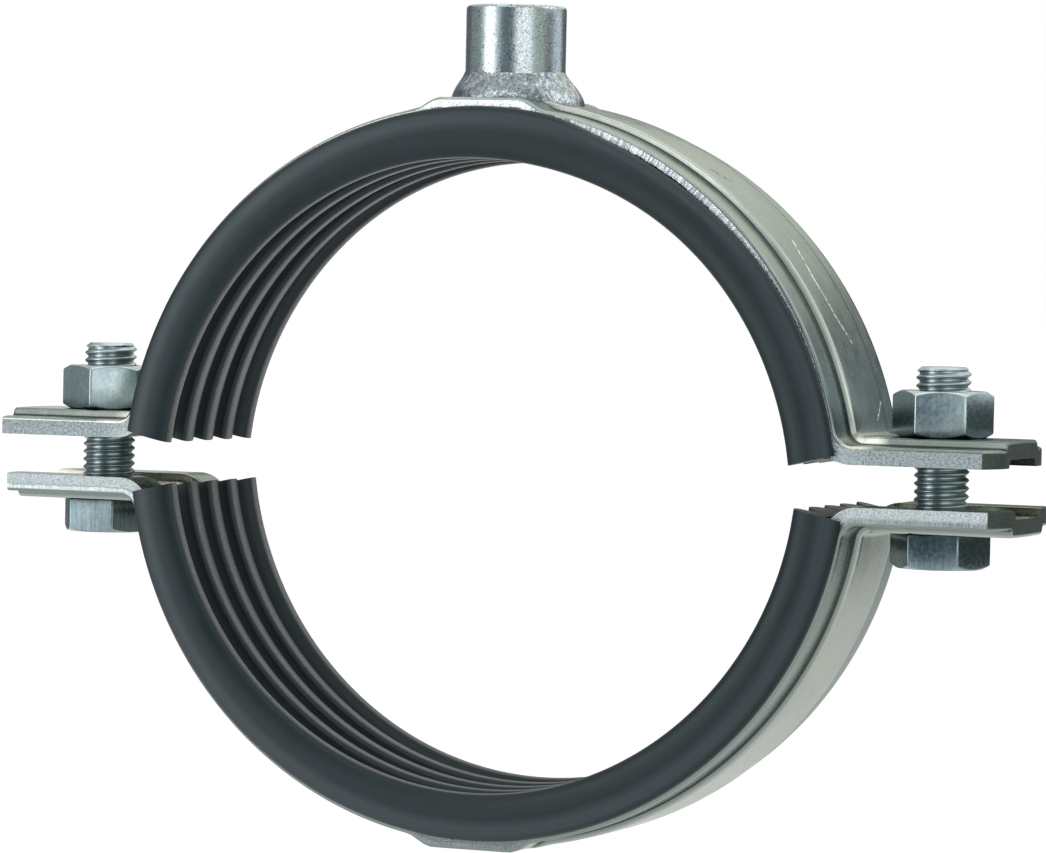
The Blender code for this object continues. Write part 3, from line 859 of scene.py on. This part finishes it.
def lining_outline():
    """Section of the lining as (y, radius): two lips round the band's edges and three ribs."""
    edge = BAND_HALF + SEAT_GAP
    front = [(-edge, BAND_INNER - SEAT_GAP)]
    for angle in np.linspace(0, pi, 30):
        outward = max(sin(angle), 0) ** LIP_ROUND_POWER
        swing = copysign(abs(cos(angle)) ** LIP_ROUND_POWER, cos(angle))
        front.append((-edge - (LIP_FRONT - edge) * outward,
                      (LIP_OUTER + RIDGE + (LIP_OUTER - RIDGE) * swing) / 2))
    front += rounded_back(-LIP_RIDGE, LIP_BACK_RUN, 10)
    corners = [(*point, 0) for point in front]
    for place in (-1, 0, 1):
        peak = RIB_SHIFT + place * RIB_PITCH
        corners += [(peak - 2.4, VALLEY, 0), (peak - RIB_FRONT_RUN, VALLEY, 0.5), (peak - 1.1, RIDGE, 1.4)]
        corners += [(y, radius, 0) for y, radius in rounded_back(peak, RIB_BACK_RUN, 16)[2:]]
    corners += [(-y, radius, 0) for y, radius in front[::-1]]
    ys, radii, fillets = zip(*corners)
    return refine(rounded(list(zip(ys, radii)), fillets, 8), 1.1)


def rounded_back(ridge, run, steps):
    """Quarter ellipse from a ridge back to the valley behind it, as (y, radius)."""
    rows = []
    for angle in np.linspace(0, pi / 2, steps):
        rows.append((ridge + run * sin(angle), VALLEY - (VALLEY - RIDGE) * cos(angle)))
    return rows


def sag(angle, radius, side):
    """How far the upper lining hangs off its band near the top, at its inner faces."""
    if side < 0:
        return 0
    spread = (degrees(angle) - SAG_ANGLE) / SAG_SPREAD
    return SAG_DEPTH * exp(-spread * spread) * smooth_step((BAND_INNER - 0.5 - radius) / 2.5)


def end_angle(radius):
    """Angle at which a radius meets the slanted cut at the lining's end."""
    x = radius
    for _ in range(14):
        z = LINING_END_Z + (x - RIDGE) * LINING_END_SLOPE
        x = sqrt(radius * radius - z * z)
    return atan2(z, x)


def add_lining(half, side, material):
    outline = lining_outline()
    around = np.concatenate([[0], np.cumsum(np.linalg.norm(np.diff(outline, axis=0), axis=1))])
    first = end_angle(LIP_OUTER) + LINING_END_STRIP
    points = []
    along = []
    for step in range(LINING_STEPS + 1):
        for (y, radius), place in zip(outline, around):
            if step == 0:
                angle = end_angle(radius)
            elif step == LINING_STEPS:
                angle = pi - end_angle(radius)
            else:
                angle = first + (pi - 2 * first) * (step - 1) / (LINING_STEPS - 2)
            if abs(y) > LIP_START:
                reach = np.interp(degrees(angle), *LIP_REACH[side])
                radius += reach * smooth_step((radius - 80) / 4.5)
            height = VALLEY - radius
            radius -= sag(angle, radius, side)
            points.append((radius * cos(angle) + SHIFT[side], y,
                           side * (radius * sin(angle) - CENTRE_OFFSET[side])))
            along.append((80 * angle, place, height))
    ring = len(outline)
    faces = ring_faces(LINING_STEPS + 1, ring)
    faces.append(tuple(range(ring))[::-1])
    faces.append(tuple(LINING_STEPS * ring + k for k in range(ring)))
    if side > 0:
        faces = flipped(faces)
    add_piece(half + "_lining", points, faces, [material], half + "_half",
              half + "_rubber_lining", along)


# Turned, threaded and hexagonal pieces

class Turning:
    """Rows of points round a vertical axis, each a (radius, z) at every angle, and their faces."""

    def __init__(self, x, turn, angles):
        self.x = x
        self.turn = turn
        self.angles = angles
        self.count = len(angles)
        self.points = []
        self.faces = []

    def put(self, rows):
        """Adds rows, where a single (radius, z) stands for a circle, and gives their start."""
        start = len(self.points)
        for row in rows:
            for angle, (radius, z) in zip(self.angles, [row] * self.count if len(row) == 2 else row):
                x = self.x + radius * cos(angle + self.turn)
                self.points.append((x, radius * sin(angle + self.turn), z))
        return start

    def put_wall(self, rows):
        """Adds rows with faces from each to the next, and gives their start."""
        start = self.put(rows)
        self.faces += [tuple(start + k for k in face) for face in ring_faces(len(rows), self.count)]
        return start

    def put_thread(self, low, high, pitch, crest, root, mouths, phase=0):
        """Adds a helical thread, whose last column meets the first one turn on.

        mouths are the radii at its ends, which an outer thread runs down to and an inner one
        opens into.
        """
        inward = mouths[1] > crest
        rows = []
        for turn in range(-1, ceil((high - low) / pitch) + 3):
            for place, share in THREAD_PROFILE:
                row = []
                for angle in self.angles:
                    z = low + pitch * (turn + place + phase + angle / (2 * pi))
                    z = min(max(z, low), high)
                    radius = root + (crest - root) * share
                    if inward:
                        radius = max(radius, mouths[0] - (z - low), mouths[1] - (high - z))
                    else:
                        radius = min(radius, mouths[0] + (z - low) * 1.2, mouths[1] + (high - z) * 1.2)
                    row.append((radius, z))
                rows.append(row)
        start = self.put(rows)
        per_turn = len(THREAD_PROFILE)
        faces = []
        for row in range(len(rows) - 1):
            here = start + row * self.count
            there = here + self.count
            faces += [(here + k, here + k + 1, there + k + 1, there + k) for k in range(self.count - 1)]
            if row + 1 + per_turn < len(rows):
                ahead = here + per_turn * self.count
                faces.append((there - 1, ahead, ahead + self.count, there + self.count - 1))
        self.faces += flipped(faces) if inward else faces

    def merged(self, distance=0.0004):
        """Points and faces with coincident points merged and collapsed faces dropped."""
        points = np.asarray(self.points, float)
        keys = np.round(points / distance).astype(np.int64)
        _, first, inverse = np.unique(keys, axis=0, return_index=True, return_inverse=True)
        inverse = inverse.ravel().tolist()
        kept = []
        for face in self.faces:
            ring = []
            for index in face:
                if not ring or ring[-1] != inverse[index]:
                    ring.append(inverse[index])
            while len(ring) > 1 and ring[0] == ring[-1]:
                ring.pop()
            if len(set(ring)) == len(ring) >= 3:
                kept.append(tuple(ring))
        return points[first], kept


def hexagon_columns():
    """Angles round a hexagon, crowded at its corners, and its radius at each."""
    beside = [0.018, 0.035, 0.06, 0.1, 0.16, 0.24, 0.33, 0.42]
    shares = [-share for share in beside[::-1]] + [0] + beside + [0.5]
    angles = [(corner + share) * pi / 3 for corner in range(6) for share in shares]
    centre = (HEX_HALF - HEX_CORNER) / cos(pi / 6)
    touch = atan2(HEX_CORNER * 0.5, centre + HEX_CORNER * cos(pi / 6))
    radii = []
    for angle in angles:
        offset = (angle + pi / 6) % (pi / 3) - pi / 6
        if abs(offset) < touch:
            inside = HEX_CORNER ** 2 - (centre * sin(offset)) ** 2
            radii.append(centre * cos(offset) + sqrt(inside))
        else:
            radii.append(HEX_HALF / cos(pi / 6 - abs(offset)))
    return angles, radii


def hexagon_wall(radius, low, high, cut_high):
    """Outline (radius, z) of a hexagon's wall at one angle, with its end chamfers."""
    rise = (radius - HEX_FACE) * tan(radians(30))
    chamfer = [(HEX_FACE - 0.15, 0), (HEX_FACE + 0.12, 0.06), (radius - 0.26, rise - 0.15),
               (radius - 0.09, rise - 0.02), (radius, rise + 0.24)]
    soft = [(radius - 0.22, 0), (radius - 0.06, 0.06), (radius, 0.22)]
    upper = chamfer if cut_high else soft
    return [(r, low + d) for r, d in chamfer] + [(r, high - d) for r, d in upper[::-1]]


def start_hexagon(x, turn, low, high, cut_high, below, above):
    """Turning with a hexagon's wall on it, between circles below and above."""
    angles, radii = hexagon_columns()
    turning = Turning(x, radians(turn), angles)
    walls = [hexagon_wall(radius, low, high, cut_high) for radius in radii]
    turning.put_wall([*below, *zip(*walls), *above])
    return turning


def add_bolt(which, x, materials):
    high = -SEAT_Z + CONTACT
    low = high - HEAD_HEIGHT
    tip = high - CONTACT + BOLT_LENGTH
    dish = [(7, low + 0.3), (7.9, low + 0.22), (8.4, low)]
    collar = [(8.9, high), (6.7, high), (5.9, high + 0.25), (BOLT_ROOT, high + 1)]
    turning = start_hexagon(x, HEAD_TURN[which], low, high, False, dish, collar)
    turning.faces.append(tuple(range(turning.count))[::-1])
    turning.put_thread(high + 1, tip, PITCH, BOLT_RADIUS, BOLT_ROOT, (BOLT_ROOT, BOLT_TIP_RADIUS))
    rim = turning.put_wall([(BOLT_TIP_RADIUS, tip), (4.3, tip)])
    turning.faces.append(tuple(range(rim + turning.count, rim + 2 * turning.count)))
    points, faces = turning.merged()
    picks = [int(min(points[i][2] for i in face) > high + 0.1) for face in faces]
    add_piece("bolt_" + which + "_threaded", points, faces, materials, "lower_half",
              "bolt_" + which, picks=picks, angle=32)


def add_nut(which, x, material):
    low = SEAT_Z - CONTACT
    high = low + NUT_HEIGHT
    ends = [[(NUT_MOUTH, low)], [(NUT_MOUTH, high)]]
    turning = start_hexagon(x, NUT_TURN[which], low, high, True, *ends)
    turning.put_thread(low, high, PITCH, NUT_CREST, NUT_ROOT, (NUT_MOUTH, NUT_MOUTH), 0.5)
    points, faces = turning.merged()
    add_piece("nut_" + which + "_threaded", points, faces, [material], which + "_nut",
              "nut_" + which, angle=32)


def add_boss(material):
    low = PAD_Z + SEAT_GAP
    high = PIPE_DROP
    sink = high - 0.1
    turning = Turning(0, 0, np.linspace(0, 2 * pi, BOSS_COLUMNS, endpoint=False))
    outer = [(BOSS_MOUTH, low)] + [(BOSS_RADIUS, low + z) for z in (0, 4, 8, 12, 16, 18.5)]
    for lean in np.linspace(0, pi / 2, 6):
        outer.append((BOSS_RADIUS - BOSS_RIM * (1 - cos(lean)), high - BOSS_RIM * (1 - sin(lean))))
    turning.put_wall(outer + [(9.4, high), (8.35, high), (BOSS_MOUTH, sink)])
    turning.put_thread(low, sink, BOSS_PITCH, BOSS_CREST, BOSS_ROOT, (BOSS_MOUTH, BOSS_MOUTH))
    points, faces = turning.merged()
    add_piece("boss_threaded", points, faces, [material], "upper_half", "connection_boss")


def add_weld(material):
    """Hollow fillet round the boss, wider at the picture's right, laid in fine crescents."""
    inner = BOSS_RADIUS - 0.05
    shares = [0, 0.03, 0.07, 0.12, 0.18, 0.25, 0.33, 0.42, 0.51, 0.6, 0.69, 0.78, 0.86, 0.92, 0.97, 1]
    under = [0.75, 0.5, 0.25, 0]
    points = []
    along = []
    for step in range(WELD_COLUMNS):
        angle = 2 * pi * step / WELD_COLUMNS
        wander = 0.16 * sin(3 * angle + 0.6) + 0.1 * sin(7 * angle + 2.1)
        run = WELD_RUN + WELD_WIDENING * cos(angle - WELD_WIDE_SIDE) + wander
        lift = WELD_HEIGHT + 0.25 * sin(2 * angle + 1) + 0.1 * sin(9 * angle)
        crest = PAD_Z + SEAT_GAP + lift
        for share in shares:
            laid = angle + WELD_LEAN * share ** 2
            swell = WELD_SWELL * sin(WELD_CRESCENTS * laid)
            swell *= sin(pi * min(share * 0.9 + 0.08, 1))
            radius = inner + run * share + swell * 0.7
            x, y = radius * cos(angle), radius * sin(angle)
            foot = shell_top(x, y) - 0.02
            rise = 0.2 * (1 - share) ** 4 + 0.8 * (1 - share) ** 0.62
            toe = WELD_TOE * sin(pi * share) * share
            points.append((x, y, foot + (crest - foot) * rise + toe + (swell if share < 1 else 0)))
            along.append((BOSS_RADIUS * laid, run * share, 0))
        for share in under:
            radius = inner + run * share
            x, y = radius * cos(angle), radius * sin(angle)
            points.append((x, y, shell_top(x, y) - 0.15))
            along.append((BOSS_RADIUS * angle, run * share, 0))
    faces = flipped(ring_faces(WELD_COLUMNS, len(shares) + len(under), True))
    add_piece("weld_bead", points, faces, [material], "upper_half", "boss_weld", along,
              angle=70)


# Stage

def background_rays(tree):
    """1 where the camera, a reflection or glass sees a surface, 0 where it only gives light."""
    rays = add_node(tree, "LightPath").outputs
    seen = rays["Is Camera Ray"]
    for name in ("Is Glossy Ray", "Is Transmission Ray"):
        seen = add_node(tree, "Math", {0: seen, 1: rays[name]}, operation="MAXIMUM").outputs[0]
    return seen


def add_plane(name, wide, high, z):
    mesh = bpy.data.meshes.new(name)
    corners = [(-wide, -high, z), (wide, -high, z), (wide, high, z), (-wide, high, z)]
    mesh.from_pydata(corners, [], [(0, 1, 2, 3)])
    return link_object(name, mesh)


def add_floor():
    floor = add_plane("floor", FLOOR_HALF, FLOOR_HALF, FLOOR_Z)
    s = Shader("pale_floor", 0, 0.9, Base_Color=(0.85, 0.85, 0.85))
    strength = s.times(background_rays(s.tree), FLOOR_GLOW)
    glow = add_node(s.tree, "Emission", {"Color": (1, 1, 1), "Strength": strength})
    both = add_node(s.tree, "AddShader", {0: s.shader.outputs[0], 1: glow.outputs[0]})
    s.tree.links.new(both.outputs[0], s.tree.nodes["Material Output"].inputs["Surface"])
    floor.data.materials.append(s.material)


def light_world():
    world = bpy.data.worlds.new("studio")
    bpy.context.scene.world = world
    world.use_nodes = True
    tree = world.node_tree
    back = tree.nodes["Background"]
    level = {"Value": background_rays(tree), "To Min": WORLD_LEVEL, "To Max": 1}
    feed(tree, back.inputs["Color"], (1, 1, 1))
    feed(tree, back.inputs["Strength"], add_node(tree, "MapRange", level).outputs["Result"])


def aimed(azimuth, elevation, distance):
    """Place round the ring's middle, seen along the angles in degrees, and facing it."""
    turn, rise = radians(azimuth), radians(elevation)
    away = Vector((cos(turn) * cos(rise), sin(turn) * cos(rise), sin(rise)))
    place = Vector((0, 0, -PIPE_DROP * MM)) + away * distance
    return Matrix.Translation(place) @ (-away).to_track_quat("-Z", "Y").to_matrix().to_4x4()


def add_softbox(name, azimuth, elevation, distance, size, level):
    """Soft lamp. level is the brightness of its face, where 1 is white."""
    lamp = bpy.data.lights.new(name, "AREA")
    lamp.shape = "RECTANGLE"
    lamp.size, lamp.size_y = size
    lamp.energy = level * pi * size[0] * size[1]
    link_object(name, lamp).matrix_world = aimed(azimuth, elevation, distance)


def add_card(name, azimuth, elevation, distance, size, colour):
    """Card beside the set with an even glow, which only the metal's reflections show."""
    card = add_plane(name, size[0] / 2, size[1] / 2, 0)
    card.matrix_world = aimed(azimuth, elevation, distance)
    s = Shader(name, 0, 0.9, Base_Color=(0, 0, 0), Specular_IOR_Level=0,
               Emission_Color=colour, Emission_Strength=1)
    card.data.materials.append(s.material)
    for rays in ("camera", "diffuse", "shadow", "transmission"):
        setattr(card, "visible_" + rays, False)


def add_camera():
    """Camera of the photograph, turned so that its axis passes through the picture's centre."""
    yaw, pitch, roll = [radians(turn) for turn in CAMERA_TURNS]
    back = Vector((sin(yaw) * cos(pitch), -cos(yaw) * cos(pitch), sin(pitch)))
    ahead = -back
    level = ahead.cross(Vector((0, 0, 1))).normalized()
    rise = level.cross(ahead)
    right = level * cos(roll) + rise * sin(roll)
    up = rise * cos(roll) - level * sin(roll)
    ahead = (ahead + right * (PICTURE_SIZE[0] / 2 - AXIS_PIXEL[0]) / FOCAL_LENGTH
             + up * (AXIS_PIXEL[1] - PICTURE_SIZE[1] / 2) / FOCAL_LENGTH).normalized()
    right = (right - ahead * right.dot(ahead)).normalized()
    up = right.cross(ahead)
    data = bpy.data.cameras.new("camera")
    data.sensor_width = SENSOR_WIDTH
    data.lens = SENSOR_WIDTH * FOCAL_LENGTH / PICTURE_SIZE[0]
    data.clip_start, data.clip_end = 0.05, 100
    camera = link_object("camera", data)
    turn = Matrix((right, up, -ahead)).transposed().to_4x4()
    camera.matrix_world = Matrix.Translation(Vector(CAMERA_PLACE)) @ turn
    bpy.context.scene.camera = camera


def main():
    band_metals = [zinc_band(), sheared_edge(), ear_end()]
    rubber = black_rubber()
    bolt_metals = [
        # The head's copy of the bolt's zinc is darker than the thread's: painted shade under the ears.
        fastener_zinc("zinc_plated_bolt", (0.105, 0.15, 0.172), (0.185, 0.24, 0.256), 0.12),
        fastener_zinc("zinc_plated_thread", (0.26, 0.325, 0.34), (0.36, 0.415, 0.425), 0.1, (0.3, 0.38)),
    ]
    nut_metal = fastener_zinc("zinc_plated_nut", (0.235, 0.31, 0.33), (0.335, 0.405, 0.41), 0.12)
    halves = (("upper", 1), ("lower", -1))
    for half, side in halves:
        add_shell(half, side, band_metals)
    for half, side in halves:
        add_lining(half, side, rubber)
    add_boss(boss_zinc())
    add_weld(weld_zinc())
    for which, x in (("left", -BOLT_X), ("right", BOLT_X)):
        add_bolt(which, x + SHIFT[-1] / 2, bolt_metals)
        add_nut(which, x + SHIFT[-1] / 2, nut_metal)
    add_floor()
    light_world()
    for softbox in SOFTBOXES:
        add_softbox(*softbox)
    for card in CARDS:
        add_card(*card)
    add_camera()
    bpy.context.scene.view_settings.view_transform = "Standard"


main()
